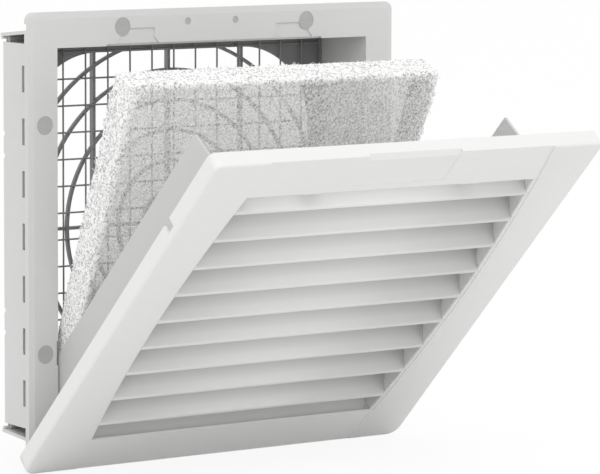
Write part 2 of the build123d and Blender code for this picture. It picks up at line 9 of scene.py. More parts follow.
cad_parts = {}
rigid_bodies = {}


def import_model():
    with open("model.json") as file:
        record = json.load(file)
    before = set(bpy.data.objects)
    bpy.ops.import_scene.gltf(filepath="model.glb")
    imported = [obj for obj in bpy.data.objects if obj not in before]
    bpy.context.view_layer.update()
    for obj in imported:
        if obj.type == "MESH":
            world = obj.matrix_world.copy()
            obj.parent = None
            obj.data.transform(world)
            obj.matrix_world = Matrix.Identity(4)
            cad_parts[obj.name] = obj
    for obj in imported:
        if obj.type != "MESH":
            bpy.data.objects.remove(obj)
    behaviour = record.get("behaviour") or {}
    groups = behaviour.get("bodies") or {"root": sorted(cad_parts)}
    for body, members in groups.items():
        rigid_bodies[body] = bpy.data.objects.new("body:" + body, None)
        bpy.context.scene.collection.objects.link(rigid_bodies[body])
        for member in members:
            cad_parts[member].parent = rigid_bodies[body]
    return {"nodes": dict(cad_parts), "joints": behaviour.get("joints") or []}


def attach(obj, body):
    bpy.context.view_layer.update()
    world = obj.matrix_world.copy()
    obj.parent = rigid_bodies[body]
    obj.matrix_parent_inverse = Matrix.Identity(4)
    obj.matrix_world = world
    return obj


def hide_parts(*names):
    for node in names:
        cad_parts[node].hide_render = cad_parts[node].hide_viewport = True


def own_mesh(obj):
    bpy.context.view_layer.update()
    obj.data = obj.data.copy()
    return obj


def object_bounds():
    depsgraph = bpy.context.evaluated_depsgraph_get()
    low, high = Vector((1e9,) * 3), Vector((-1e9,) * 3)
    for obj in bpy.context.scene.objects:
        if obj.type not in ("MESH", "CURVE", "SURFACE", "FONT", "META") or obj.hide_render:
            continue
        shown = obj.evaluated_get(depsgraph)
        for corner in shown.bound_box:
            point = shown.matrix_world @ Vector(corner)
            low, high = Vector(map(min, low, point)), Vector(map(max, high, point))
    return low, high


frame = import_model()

bl_info = {
    "name": "Louvred Exhaust Filter Unit",
    "version": (1, 0, 0),
    "blender": (4, 5, 0),
    "location": "3D View > Sidebar > Filter Unit",
    "description": "Builds the louvres, filter mat and finishes of a louvred exhaust filter unit",
    "category": "Object",
}

CAD_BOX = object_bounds()
JOINTS = {joint["name"]: joint for joint in frame["joints"]}
COVER_PIVOT = Vector(JOINTS["cover_hinge"]["pos_m"])
COVER_ANGLE = math.radians(-JOINTS["cover_hinge"]["range_deg"][0])
MAT_PIVOT = Vector(JOINTS["mat_tilt"]["pos_m"])
MAT_ANGLE = math.radians(-JOINTS["mat_tilt"]["range_deg"][0])


def turn_about(pivot, angle):
    """Matrix that turns about the X direction through a pivot."""
    return Matrix.Translation(pivot) @ Matrix.Rotation(angle, 4, "X") @ Matrix.Translation(-pivot)


def clamp(value):
    """Value held between 0 and 1."""
    return max(0.0, min(1.0, value))


def upright_box(node, pivot, angle):
    """Corners of a CAD node after its body is turned back by the angle at which it rests."""
    back = turn_about(pivot, -angle)
    points = [back @ vertex.co for vertex in frame["nodes"][node].data.vertices]
    low = Vector(min(p[i] for p in points) for i in range(3))
    high = Vector(max(p[i] for p in points) for i in range(3))
    return low, high


SLATS_BOX = upright_box("louvre_slats", COVER_PIVOT, COVER_ANGLE)
MAT_BOX = upright_box("filter_mat", MAT_PIVOT, MAT_ANGLE)

# Lengths are in metres, and colours are linear.
# Edges of the moulded pieces
WELD_REACH = 0.00002
FLAT_ANGLE = math.radians(1.0)
SHARP_ANGLE = math.radians(40)

# Bump of each finish, as (strength, distance)
PLASTIC_BUMP = (0.10, 0.0002)
METAL_BUMP = (0.15, 0.0001)
FIBRE_BUMP = (0.35, 0.0003)

# Finishes that nobody is likely to change
GASKET_COLOUR = (0.05, 0.05, 0.05)
PIN_COLOUR = (0.6, 0.6, 0.61)
SCUFF_COLOUR = (0.92, 0.92, 0.91, 1)
ZINC_COLOUR = (0.55, 0.55, 0.56, 1)
DULL_COLOUR = (0.10, 0.10, 0.105, 1)
SPECK_COLOUR = (0.05, 0.05, 0.05, 1)
BLACK = (0, 0, 0, 1)

# Louvre slats: a share of the depth or rise at t is first * t + second * t * t
SLAT_STEPS = 14
ROLL_STEPS = 8
ROLL_FLATTEN = 0.55         # depth of the rolled lip as a share of its height
UNDER_RISE = (0.45, 0.55)
OVER_DEPTH = (0.83, 0.07)
OVER_RISE = (0.36, 0.55)
LIP_SET = 0.0006            # the lip's front lies this far behind the box's front
# The darker rear of each slat is painted shade, standing in for the shade cast by the slat above.
REAR_START = 0.22           # share of the depth where the darker rear begins
REAR_SPAN = 0.40
REAR_PAINTED_SHADE = 0.24           # how much darker the rear becomes

# Room for the mat's relief, as shares of it, by the side that it stands on
ROOM_SIDE_FOOT = 0.25
ROOM_SIDE_GAIN = 0.75
ROOM_BROAD = 0.20
ROOM_TOP = 0.30

# Skin of the mat
MAT_MARGIN = 0.0004         # the slab is smaller than the box by this much
MAT_BEVEL = 0.0022
MAT_TOP_SWELL = 0.2
WAVE_SCALE = 22.0
TUFT_SCALE = 300.0
TUFT_SHIFT = Vector((7.0, 3.0, 5.0))
PANEL_RIM = 0.0035          # from the slab's edge to the thin panel's outline
PANEL_FADE = 0.0016
PANEL_WANDER = 0.0012
PANEL_WANDER_SCALE = 60.0
BROAD_NORMAL = 0.8          # a normal past this share belongs to a broad side

# Loose fibres
FIBRE_SEED = 11
FIBRE_ROOT = 0.0004         # how deep a fibre starts under the skin
FIBRE_BEND = 0.9            # radians
FIBRE_SHORTEST = 0.35
FIBRE_LOWEST = 0.2
FIBRE_LEAST_ROOM = 0.04
FIBRE_END_LOW = -0.9
FIBRE_END_HIGH = 0.5
EDGE_WEIGHT = 3.0           # fibres on the cut edges against those on the panel

# Floor, lamp and camera
FLOOR_SIZE = 60.0
FLOOR_DROP = 0.0005
FLOOR_COLOUR = (0.88, 0.88, 0.88, 1)
FLOOR_EVEN_STRENGTH = 1.02
WHITE = (1, 1, 1, 1)
LAMP_SIZE = (3.0, 2.4)
LAMP_PLACE = (-1.2, -2.2, 2.6)
SENSOR_WIDTH = 36.0         # millimetres
CLIP_END = 200.0


# ------------------------------------------------------------------ settings

class LouvreSettings(bpy.types.PropertyGroup):
    """Sizes of the louvre slats."""
    count: bpy.props.IntProperty(name="Slats", description="Number of slats", default=9, min=1)
    pitch: bpy.props.FloatProperty(
        name="Pitch", description="From slat to slat, up the cover", default=0.0282, unit="LENGTH")
    depth: bpy.props.FloatProperty(
        name="Depth", description="From the face to a slat's rear edge", default=0.0189,
        unit="LENGTH")
    rise: bpy.props.FloatProperty(
        name="Rise", description="How far a slat climbs from lip to rear", default=0.0195,
        unit="LENGTH")
    lip: bpy.props.FloatProperty(
        name="Lip", description="Height of the rolled lip", default=0.0034, unit="LENGTH")
    bow: bpy.props.FloatProperty(
        name="Bow", description="How far the opening's sides bow out", default=0.0081,
        unit="LENGTH")
    half_height: bpy.props.FloatProperty(
        name="Half height", description="Half of the louvred opening's height", default=0.130,
        unit="LENGTH")


class MatSettings(bpy.types.PropertyGroup):
    """Shape and fibres of the filter mat."""
    cell: bpy.props.FloatProperty(
        name="Cell", description="Size of the mesh cells that carry the relief", default=0.0023,
        unit="LENGTH")
    waviness: bpy.props.FloatProperty(
        name="Waviness", description="Height of the broad unevenness", default=0.0020,
        unit="LENGTH")
    roughness: bpy.props.FloatProperty(
        name="Roughness", description="Height of the fine unevenness", default=0.0005,
        unit="LENGTH")
    fibres: bpy.props.IntProperty(
        name="Fibres", description="Loose fibres on the surface", default=12000, min=0)
    fibre_radius: bpy.props.FloatProperty(
        name="Fibre radius", description="Radius of one loose fibre", default=0.00017,
        unit="LENGTH", precision=5)
    fibre_reach: bpy.props.FloatProperty(
        name="Fibre reach", description="How far a loose fibre stands off the surface",
        default=0.0017, unit="LENGTH")
    fibre_length: bpy.props.FloatProperty(
        name="Fibre length", description="Length of the longest loose fibres", default=0.0034,
        unit="LENGTH")
    swell: bpy.props.FloatProperty(
        name="Swell", description="How far the fibre stands out near the top", default=0.0022,
        unit="LENGTH")
    corner: bpy.props.FloatProperty(
        name="Corner", description="Radius of the broad sides' soft corners", default=0.011,
        unit="LENGTH")


class FinishSettings(bpy.types.PropertyGroup):
    """Colours of the unit and the softness of its moulded edges."""
    cover: bpy.props.FloatVectorProperty(
        name="Cover", description="Colour of the cover", subtype="COLOR",
        default=(0.80, 0.80, 0.79))
    # Painted shade: a darker copy of the cover colour for the cheeks, louvre end walls and sill,
    # standing in for the shade they sit in behind the cover's face.
    cheek: bpy.props.FloatVectorProperty(
        name="Cheek shade", description="Colour of the cover's side walls behind it", subtype="COLOR",
        default=(0.595, 0.595, 0.587))
    flange: bpy.props.FloatVectorProperty(
        name="Flange", description="Colour of the flange", subtype="COLOR",
        default=(0.645, 0.645, 0.635))
    housing: bpy.props.FloatVectorProperty(
        name="Housing", description="Colour of the housing and its flaps", subtype="COLOR",
        default=(0.66, 0.66, 0.655))
    grille: bpy.props.FloatVectorProperty(
        name="Grille", description="Colour of the rear grille", subtype="COLOR",
        default=(0.235, 0.235, 0.235))
    plug: bpy.props.FloatVectorProperty(
        name="Plugs", description="Colour of the screw blanks", subtype="COLOR",
        default=(0.43, 0.43, 0.425))
    wire: bpy.props.FloatVectorProperty(
        name="Wire", description="Colour of the mesh wire", subtype="COLOR",
        default=(0.27, 0.27, 0.275))
    fibre: bpy.props.FloatVectorProperty(
        name="Fibre", description="Colour of the mat's fibres", subtype="COLOR",
        default=(0.99, 0.99, 0.985))
    edge: bpy.props.FloatProperty(
        name="Edge radius", description="Radius of the moulded edges", default=0.00035,
        unit="LENGTH", precision=5)


class StageSettings(bpy.types.PropertyGroup):
    """Camera and light."""
    azimuth: bpy.props.FloatProperty(
        name="Azimuth", description="Direction of view round the unit",
        default=math.radians(36.433), subtype="ANGLE")
    elevation: bpy.props.FloatProperty(
        name="Elevation", description="Height of the camera above the horizon",
        default=math.radians(6.066), subtype="ANGLE")
    roll: bpy.props.FloatProperty(
        name="Roll", description="Lean of the camera", default=math.radians(0.195), subtype="ANGLE")
    distance: bpy.props.FloatProperty(
        name="Distance", description="From the camera to the aim point", default=2.8717,
        unit="LENGTH")
    aim: bpy.props.FloatVectorProperty(
        name="Aim", description="Point that the camera looks at", subtype="TRANSLATION",
        default=(0.05142, -0.03882, -0.00657))
    lens: bpy.props.FloatProperty(
        name="Lens", description="Focal length in millimetres", default=241.55)
    key_light: bpy.props.FloatProperty(
        name="Key light", description="Power of the large soft lamp", default=30.0, unit="POWER")
    sky: bpy.props.FloatProperty(
        name="Surround", description="Brightness of the surrounding light", default=0.95)
    glow: bpy.props.FloatProperty(
        name="Floor glow", description="Share of even white in the floor as it is seen",
        default=0.85, min=0, max=1)


GROUPS = {
    "unit_louvres": LouvreSettings,
    "unit_mat": MatSettings,
    "unit_finish": FinishSettings,
    "unit_stage": StageSettings,
}


# ------------------------------------------------------------------ shader helpers

def add_node(tree, kind, inputs=None, **settings):
    """Adds a shader node, sets its fields, and sets or links its inputs."""
    made = tree.nodes.new(kind)
    for key, value in settings.items():
        setattr(made, key, value)
    for key, value in (inputs or {}).items():
        if isinstance(value, bpy.types.NodeSocket):
            tree.links.new(value, made.inputs[key])
        else:
            made.inputs[key].default_value = value
    return made


def maths(tree, operation, first, second, held=False):
    """Result of a Math node, held between 0 and 1 if asked."""
    inputs = {0: first, 1: second}
    return add_node(
        tree, "ShaderNodeMath", inputs, operation=operation, use_clamp=held).outputs[0]


def mix_colour(tree, factor, first, second):
    """Blend of two colours."""
    inputs = {0: factor, 6: first, 7: second}
    return add_node(tree, "ShaderNodeMix", inputs, data_type="RGBA").outputs[2]


def mix_value(tree, factor, first, second):
    """Blend of two values."""
    inputs = {0: factor, 2: first, 3: second}
    return add_node(tree, "ShaderNodeMix", inputs, data_type="FLOAT").outputs[0]


def remap(tree, value, low, high, new_low=0.0, new_high=1.0):
    """Result of a clamped Map Range node."""
    inputs = {0: value, 1: low, 2: high, 3: new_low, 4: new_high}
    return add_node(tree, "ShaderNodeMapRange", inputs).outputs[0]


def mix_sum(tree, first, second):
    """Sum of two values, each given with its weight."""
    terms = [maths(tree, "MULTIPLY", value, weight) for value, weight in (first, second)]
    return maths(tree, "ADD", *terms)


def noise_of(tree, vector, scale, detail=2.0, rough=0.5, distortion=0.0):
    """Factor of a Noise texture."""
    inputs = {
        "Vector": vector, "Scale": scale, "Detail": detail, "Roughness": rough,
        "Distortion": distortion}
    return add_node(tree, "ShaderNodeTexNoise", inputs).outputs["Fac"]


def stretched(tree, vector, turn, scale):
    """Coordinates turned and stretched by a Mapping node."""
    inputs = {"Vector": vector, "Rotation": turn, "Scale": scale}
    return add_node(tree, "ShaderNodeMapping", inputs).outputs[0]


def new_group(name, sockets_in, sockets_out):
    """Empty shader node group with named sockets."""
    tree = bpy.data.node_groups.new(name, "ShaderNodeTree")
    for label, kind, default in sockets_in:
        made = tree.interface.new_socket(label, in_out="INPUT", socket_type=kind)
        made.default_value = default
    for label, kind in sockets_out:
        tree.interface.new_socket(label, in_out="OUTPUT", socket_type=kind)
    return tree, tree.nodes.new("NodeGroupInput"), tree.nodes.new("NodeGroupOutput")


COLOUR, VALUE = "NodeSocketColor", "NodeSocketFloat"


def moulded_group():
    """Moulded plastic: cloudy tone, faint flow marks, a fine spark-eroded grain, rare scuffs, and
    painted shade where the rear attribute is set.
    """
    tree, given, result = new_group(
        "Moulded plastic",
        [("Colour", COLOUR, (0.7, 0.7, 0.7, 1)), ("Tone", VALUE, 0.05),
         ("Grain", VALUE, 1600.0), ("Roughness", VALUE, 0.45)],
        [("Colour", COLOUR), ("Roughness", VALUE), ("Height", VALUE)])
    place = tree.nodes.new("ShaderNodeTexCoord").outputs["Object"]
    rear = add_node(tree, "ShaderNodeAttribute", attribute_name="rear").outputs["Fac"]
    clouds = noise_of(tree, place, scale=16.0, detail=4.0, rough=0.55)
    lines = stretched(tree, place, turn=(0.2, 0.1, 0.3), scale=(18.0, 9.0, 140.0))
    flow = noise_of(tree, lines, scale=1.0, detail=3.0, rough=0.6, distortion=0.8)
    grain = noise_of(tree, place, scale=given.outputs["Grain"], detail=2.0, rough=0.6)
    streaks = stretched(tree, place, turn=(0.5, 0.2, 0.9), scale=(30.0, 60.0, 420.0))
    scuff_field = noise_of(tree, streaks, scale=1.0, detail=2.0, rough=0.5, distortion=1.5)
    scuffs = remap(tree, scuff_field, low=0.70, high=0.80)
    tone = mix_sum(tree, (clouds, 0.65), (flow, 0.35))
    tone = maths(tree, "SUBTRACT", tone, 0.5)
    swing = maths(tree, "MULTIPLY", tone, given.outputs["Tone"])
    speck = maths(tree, "MULTIPLY", maths(tree, "SUBTRACT", grain, 0.5), 0.05)
    gain = maths(tree, "ADD", maths(tree, "ADD", swing, speck), 1.0)
    # Painted shade: the colour darkens where the rear attribute is set, standing in for the shade
    # under each slat's neighbour.
    painted_shade_gain = maths(tree, "SUBTRACT", 1.0, maths(tree, "MULTIPLY", rear, REAR_PAINTED_SHADE))
    gain = maths(tree, "MULTIPLY", gain, painted_shade_gain)
    spread = add_node(tree, "ShaderNodeCombineXYZ", {0: gain, 1: gain, 2: gain})
    shaded = add_node(
        tree, "ShaderNodeVectorMath", {0: given.outputs["Colour"], 1: spread.outputs[0]},
        operation="MULTIPLY")
    wear = maths(tree, "MULTIPLY", scuffs, 0.10)
    worn = mix_colour(tree, wear, shaded.outputs[0], SCUFF_COLOUR)
    tree.links.new(worn, result.inputs["Colour"])
    patchy = maths(tree, "MULTIPLY", maths(tree, "SUBTRACT", clouds, 0.5), 0.18)
    rough = maths(tree, "ADD", given.outputs["Roughness"], patchy)
    rough = maths(tree, "ADD", rough, maths(tree, "MULTIPLY", scuffs, 0.12), held=True)
    tree.links.new(rough, result.inputs["Roughness"])
    height = maths(tree, "ADD", grain, maths(tree, "MULTIPLY", clouds, 0.5))
    tree.links.new(height, result.inputs["Height"])
    return tree


def drawn_group():
    """Drawn and welded wire: streaks along it, dull zinc clouds and darker specks."""
    tree, given, result = new_group(
        "Drawn metal",
        [("Colour", COLOUR, (0.4, 0.4, 0.4, 1)), ("Roughness", VALUE, 0.4)],
        [("Colour", COLOUR), ("Roughness", VALUE), ("Height", VALUE)])
    place = tree.nodes.new("ShaderNodeTexCoord").outputs["Object"]
    along = stretched(tree, place, turn=(0, 0, 0), scale=(900.0, 900.0, 60.0))
    streaks = noise_of(tree, along, scale=1.0, detail=3.0, rough=0.6)
    clouds = noise_of(tree, place, scale=70.0, detail=3.0, rough=0.6)
    specks = remap(tree, noise_of(tree, place, scale=700.0, detail=2.0), low=0.62, high=0.72)
    tinted = given.outputs["Colour"]
    for field, colour in ((streaks, ZINC_COLOUR), (clouds, DULL_COLOUR), (specks, SPECK_COLOUR)):
        tinted = mix_colour(tree, maths(tree, "MULTIPLY", field, 0.5), tinted, colour)
    tree.links.new(tinted, result.inputs["Colour"])
    cloudy = maths(tree, "MULTIPLY", clouds, 0.3)
    rough = maths(tree, "ADD", given.outputs["Roughness"], cloudy, held=True)
    tree.links.new(rough, result.inputs["Roughness"])
    tree.links.new(streaks, result.inputs["Height"])
    return tree


def fibre_group():
    """Bonded fibre web: crossing fibres in many directions with dark pores between them, and
    painted shade on the broad sides.
    """
    tree, given, result = new_group(
        "Fibre web",
        [("Colour", COLOUR, (0.9, 0.9, 0.9, 1)), ("Pore", COLOUR, (0.3, 0.3, 0.3, 1)),
         ("Pores", VALUE, 0.5), ("Shade", VALUE, 0.8), ("Thin", VALUE, 0.2), ("Open", VALUE, 0.5)],
        [("Colour", COLOUR), ("Height", VALUE), ("Alpha", VALUE)])
    place = tree.nodes.new("ShaderNodeTexCoord").outputs["Object"]
    panel = add_node(tree, "ShaderNodeAttribute", attribute_name="panel").outputs["Fac"]
    fields = []
    for turn in ((0.3, 0.9, 0.2), (1.2, 0.2, 1.0), (0.7, 1.6, 2.1), (2.2, 0.5, 0.4)):
        along = stretched(tree, place, turn=turn, scale=(1300.0, 1300.0, 260.0))
        fields.append(noise_of(tree, along, scale=1.0, detail=1.0, rough=0.5, distortion=0.4))
    web = fields[0]
    for field in fields[1:]:
        web = maths(tree, "MAXIMUM", web, field)
    web = remap(tree, web, low=0.52, high=0.76)
    grains = noise_of(tree, place, scale=620.0, detail=2.0, rough=0.75)
    tufts = noise_of(tree, place, scale=300.0, detail=2.0, rough=0.6, distortion=0.5)
    broad = noise_of(tree, place, scale=34.0, detail=3.0, rough=0.6)
    body = maths(tree, "ADD", mix_sum(tree, (web, 0.16), (tufts, 0.24)), grains)
    # Low values of the body are pores: sharp spots on the edges, softer ones on the panel.
    spots = remap(tree, body, low=0.68, high=0.56)
    mottle = remap(tree, body, low=0.72, high=0.54)
    pores = mix_value(tree, panel, spots, mottle)
    patches = remap(tree, broad, low=0.3, high=0.7, new_low=0.75, new_high=1.0)
    pores = maths(tree, "MULTIPLY", pores, patches)
    depth = maths(tree, "MULTIPLY", pores, given.outputs["Pores"], held=True)
    # Painted shade: the broad sides, marked by the panel attribute, are darkened towards black by
    # one minus Shade.
    darker = maths(tree, "SUBTRACT", 1.0, given.outputs["Shade"])
    painted_shade = maths(tree, "MULTIPLY", panel, darker)
    base = mix_colour(tree, painted_shade, given.outputs["Colour"], BLACK)
    pored = mix_colour(tree, depth, base, given.outputs["Pore"])
    tree.links.new(pored, result.inputs["Colour"])
    tree.links.new(body, result.inputs["Height"])
    hole = maths(tree, "MULTIPLY", pores, given.outputs["Open"])
    hole = maths(tree, "ADD", hole, given.outputs["Thin"])
    hole = maths(tree, "MULTIPLY", hole, panel)
    tree.links.new(maths(tree, "SUBTRACT", 1.0, hole, held=True), result.inputs["Alpha"])
    return tree


def shader_group(name):
    """Shader group of that name, built once."""
    makers = {
        "Moulded plastic": moulded_group,
        "Drawn metal": drawn_group,
        "Fibre web": fibre_group,
    }
    return bpy.data.node_groups.get(name) or makers[name]()


def finish_material(name, group_name, values, bump, **surface):
    """Material whose Principled shader takes colour, roughness and bump from a shader group."""
    finish = f"{name}_finish"
    made = bpy.data.materials.get(finish)
    if made:
        return made
    made = bpy.data.materials.new(finish)
    made.use_nodes = True
    tree = made.node_tree
    shader = tree.nodes["Principled BSDF"]
    for key, value in surface.items():
        shader.inputs[key.replace("_", " ")].default_value = value
    group = add_node(tree, "ShaderNodeGroup", node_tree=shader_group(group_name))
    for key, value in values.items():
        group.inputs[key].default_value = value
    tree.links.new(group.outputs["Colour"], shader.inputs["Base Color"])
    if "Roughness" in group.outputs:
        tree.links.new(group.outputs["Roughness"], shader.inputs["Roughness"])
    if "Alpha" in group.outputs:
        tree.links.new(group.outputs["Alpha"], shader.inputs["Alpha"])
    strength, distance = bump
    relief = add_node(tree, "ShaderNodeBump", {
        "Strength": strength, "Distance": distance, "Height": group.outputs["Height"]})
    tree.links.new(relief.outputs[0], shader.inputs["Normal"])
    return made


def rgba(colour):
    """Colour with full alpha."""
    return (*colour, 1.0)


def plastic(name, colour, tone=0.06, rough=0.46, grain=1500.0):
    """Moulded plastic material."""
    values = {"Colour": rgba(colour), "Tone": tone, "Grain": grain, "Roughness": rough}
    return finish_material(name, "Moulded plastic", values, PLASTIC_BUMP)


def cover_plastic(look):
    """Material of the cover, the same for every piece of it that faces out."""
    return plastic("cover_grey", look.cover, tone=0.05, rough=0.44)


def metal(name, colour, rough, metallic=0.75):
    """Drawn metal material."""
    values = {"Colour": rgba(colour), "Roughness": rough}
    return finish_material(name, "Drawn metal", values, METAL_BUMP, Metallic=metallic)


# ------------------------------------------------------------------ mesh helpers

def piece_from(mesh, name, body, material):
    """Object made from a bmesh, riding on a body and taking a material slot."""
    data = bpy.data.meshes.new(name)
    mesh.to_mesh(data)
    mesh.free()
    made = bpy.data.objects.new(name, data)
    bpy.context.scene.collection.objects.link(made)
    data.materials.append(material)
    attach(made, body)
    return made


def dress(node, material, edge=0.0):
    """Gives a CAD node its material, and softens its sharp edges."""
    target = frame["nodes"][node]
    target.data.materials.clear()
    target.data.materials.append(material)
    if edge <= 0:
        return
    target.modifiers.new("Join", "WELD").merge_threshold = WELD_REACH
    planar = target.modifiers.new("Flats", "DECIMATE")
    planar.decimate_type = "DISSOLVE"
    planar.angle_limit = FLAT_ANGLE
    bevel = target.modifiers.new("Edges", "BEVEL")
    bevel.width = edge
    bevel.segments = 2
    bevel.limit_method = "ANGLE"
    bevel.angle_limit = SHARP_ANGLE
    bevel.harden_normals = True


# ------------------------------------------------------------------ operators

class UNIT_OT_frame_finish(bpy.types.Operator):
    """Give the flange, gasket, housing and snap flaps their moulded finishes"""
    bl_idname = "filter_unit.frame_finish"
    bl_label = "Finish Flange and Housing"

    def execute(self, context):
        look = context.scene.unit_finish
        dress("flange_frame", plastic("flange_grey", look.flange), look.edge)
        plug = plastic("plug_grey", look.plug, tone=0.55, rough=0.6, grain=420.0)
        dress("screw_plugs", plug)
        foam = plastic("gasket_foam", GASKET_COLOUR, tone=0.4, rough=0.9, grain=700.0)
        dress("panel_gasket", foam)
        shell = plastic("housing_grey", look.housing, tone=0.08, rough=0.42)
        dress("housing_tray", shell, look.edge)
        for side in ("top", "bottom", "left", "right"):
            dress(f"snap_flap_{side}", shell, look.edge)
        return {"FINISHED"}


class UNIT_OT_grille_finish(bpy.types.Operator):
    """Give the rear grille and the wire mesh their finishes"""
    bl_idname = "filter_unit.grille_finish"
    bl_label = "Finish Grille and Mesh"

    def execute(self, context):
        look = context.scene.unit_finish
        grille = plastic("grille_grey", look.grille, tone=0.12, rough=0.4)
        dress("rear_grille", grille, look.edge)
        dress("insect_mesh", metal("mesh_wire", look.wire, rough=0.55, metallic=0.25))
        return {"FINISHED"}


class UNIT_OT_cover_finish(bpy.types.Operator):
    """Give the cover's frame, cheeks, end walls, sill, hooks and pins their finishes, with painted
    shade on the cheeks, end walls and sill
    """
    bl_idname = "filter_unit.cover_finish"
    bl_label = "Finish Cover"

    def execute(self, context):
        look = context.scene.unit_finish
        shell = cover_plastic(look)
        dress("cover_frame", shell, look.edge)
        # The cheeks, sill and louvre end walls take a darker copy of the cover plastic as painted
        # shade.
        painted_shade_plastic = plastic("cover_grey_painted_shade", look.cheek, tone=0.05, rough=0.5)
        dress("sill_slat", painted_shade_plastic, look.edge)
        for side in ("left", "right"):
            for part in ("cheek", "louvre_end"):
                dress(f"{part}_{side}", painted_shade_plastic, look.edge)
            dress(f"latch_hook_{side}", shell, look.edge)
            dress(f"hinge_pin_{side}", metal("pin_steel", PIN_COLOUR, rough=0.25))
        return {"FINISHED"}


def curve(shares, t):
    """Curved share of a length at t along it."""
    first, second = shares
    return first * t + second * t * t


def slat_outline(size):
    """Section of a slat as (depth, height) from the lip's lower front, with a rolled lip."""
    along = [k / SLAT_STEPS for k in range(SLAT_STEPS + 1)]
    under = [(size.depth * t, size.rise * curve(UNDER_RISE, t)) for t in along]
    over = [(size.depth * curve(OVER_DEPTH, t), size.lip + size.rise * curve(OVER_RISE, t))
            for t in reversed(along)]
    radius = size.lip / 2
    roll = []
    for k in range(1, ROLL_STEPS):
        angle = math.pi * (0.5 + k / ROLL_STEPS)
        inward = radius * ROLL_FLATTEN * math.cos(angle)
        roll.append((inward, radius + radius * math.sin(angle)))
    return under + over + roll


class UNIT_OT_louvres(bpy.types.Operator):
    """Build the curved louvre slats with their rolled lips, cut to the bowed opening, with painted
    shade towards their rear
    """
    bl_idname = "filter_unit.louvres"
    bl_label = "Build Louvres"

    def execute(self, context):
        size = context.scene.unit_louvres
        look = context.scene.unit_finish
        low, high = SLATS_BOX
        half_w = high.x
        radius = (size.half_height ** 2 + size.bow ** 2) / (2 * size.bow)
        face = low.y + LIP_SET
        outline = slat_outline(size)
        mesh = bmesh.new()
        # The rear attribute paints shade onto each slat's deeper part, which the slat above shades.
        rear = mesh.verts.layers.float.new("rear")
        middle = (size.count - 1) / 2
        for i in range(size.count):
            lip_z = (middle - i) * size.pitch
            corners = [mesh.verts.new((0, face + y, lip_z + z)) for y, z in outline]
            section = mesh.faces.new(corners)
            grown = bmesh.ops.extrude_face_region(mesh, geom=[section])
            far = [v for v in grown["geom"] if isinstance(v, bmesh.types.BMVert)]
            for vertex, side in [(v, -1) for v in corners] + [(v, 1) for v in far]:
                share = (vertex.co.y - face) / size.depth
                vertex[rear] = clamp((share - REAR_START) / REAR_SPAN)
                height = max(-size.half_height, min(high.z, vertex.co.z))
                sag = radius - math.sqrt(radius ** 2 - height ** 2)
                vertex.co.z = height
                vertex.co.x = side * (half_w - sag)
        bmesh.ops.recalc_face_normals(mesh, faces=mesh.faces)
        opened = turn_about(COVER_PIVOT, COVER_ANGLE)
        bmesh.ops.transform(mesh, matrix=opened, verts=mesh.verts)
        for face_made in mesh.faces:
            face_made.smooth = len(face_made.verts) == 4
        slats = piece_from(
            mesh, "louvre_slats_smooth", "cover", cover_plastic(look))
        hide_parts("louvre_slats")
        return {"FINISHED"}


def room(normal, height):
    """Share of the relief that a side of the mat has room for once the cover is closed."""
    sides = abs(normal.x) * (ROOM_SIDE_FOOT + ROOM_SIDE_GAIN * height)
    return sides + abs(normal.y) * ROOM_BROAD + max(normal.z, 0.0) * ROOM_TOP


def uneven(point, normal, extent, size):
    """Move of a point of the mat's skin: fuller towards the top, with waves and fine tufts."""
    height = clamp(point.z / extent.z + 0.5)
    broad = noise.fractal(point * WAVE_SCALE, 1.0, 2.0, 3)
    fine = noise.fractal(point * TUFT_SCALE + TUFT_SHIFT, 1.0, 2.0, 2)
    relief = (size.waviness * broad + size.roughness * fine) * room(normal, height)
    fuller = Vector((normal.x * height, 0.0, max(normal.z, 0.0) * MAT_TOP_SWELL)) * size.swell
    return fuller + normal * relief


def broadside(point, extent, size):
    """1 on the middle of a broad side of the mat, falling to 0 past its rounded outline."""
    reach_x = abs(point.x) - (extent.x / 2 - PANEL_RIM - size.corner)
    reach_z = abs(point.z) - (extent.z / 2 - PANEL_RIM - size.corner)
    past = math.hypot(max(reach_x, 0), max(reach_z, 0))
    outside = past + min(max(reach_x, reach_z), 0) - size.corner
    wander = PANEL_WANDER * noise.fractal(point * PANEL_WANDER_SCALE, 1.0, 2.0, 2)
    return clamp(0.5 - (outside + wander) / PANEL_FADE)


def mat_material(look):
    """Bonded white fibre, thin enough on its broad sides to show what is behind it, with painted
    shade on those sides.
    """
    values = {
        # Shade keeps this share of the broad sides' colour; the rest is painted shade.
        "Colour": rgba(look.fibre), "Pore": (0.24, 0.24, 0.24, 1), "Pores": 0.76, "Shade": 0.97,
        "Thin": 0.31, "Open": 0.38}
    return finish_material(
        "mat_fibre", "Fibre web", values, FIBRE_BUMP, Roughness=0.95, Specular_IOR_Level=0.1)


def loose_fibre(spot, normal, extent, size, dice):
    """Points of one loose fibre that rises from the mat's skin and bends back to it."""
    side = normal.orthogonal().normalized()
    side = Matrix.Rotation(dice.uniform(0, 2 * math.pi), 3, normal) @ side
    turned = Matrix.Rotation(dice.uniform(-FIBRE_BEND, FIBRE_BEND), 3, normal) @ side
    length = size.fibre_length * dice.uniform(FIBRE_SHORTEST, 1.0)
    height = clamp(spot.z / extent.z + 0.5)
    free = min(1.0, FIBRE_LEAST_ROOM + room(normal, height))
    rise = size.fibre_reach * dice.uniform(FIBRE_LOWEST, 1.0) * free
    start = spot - normal * FIBRE_ROOT
    middle = spot + side * length * 0.5 + normal * rise
    drop = dice.uniform(FIBRE_END_LOW, FIBRE_END_HIGH)
    end = middle + turned * length * 0.5 + normal * rise * drop
    return start, middle, end


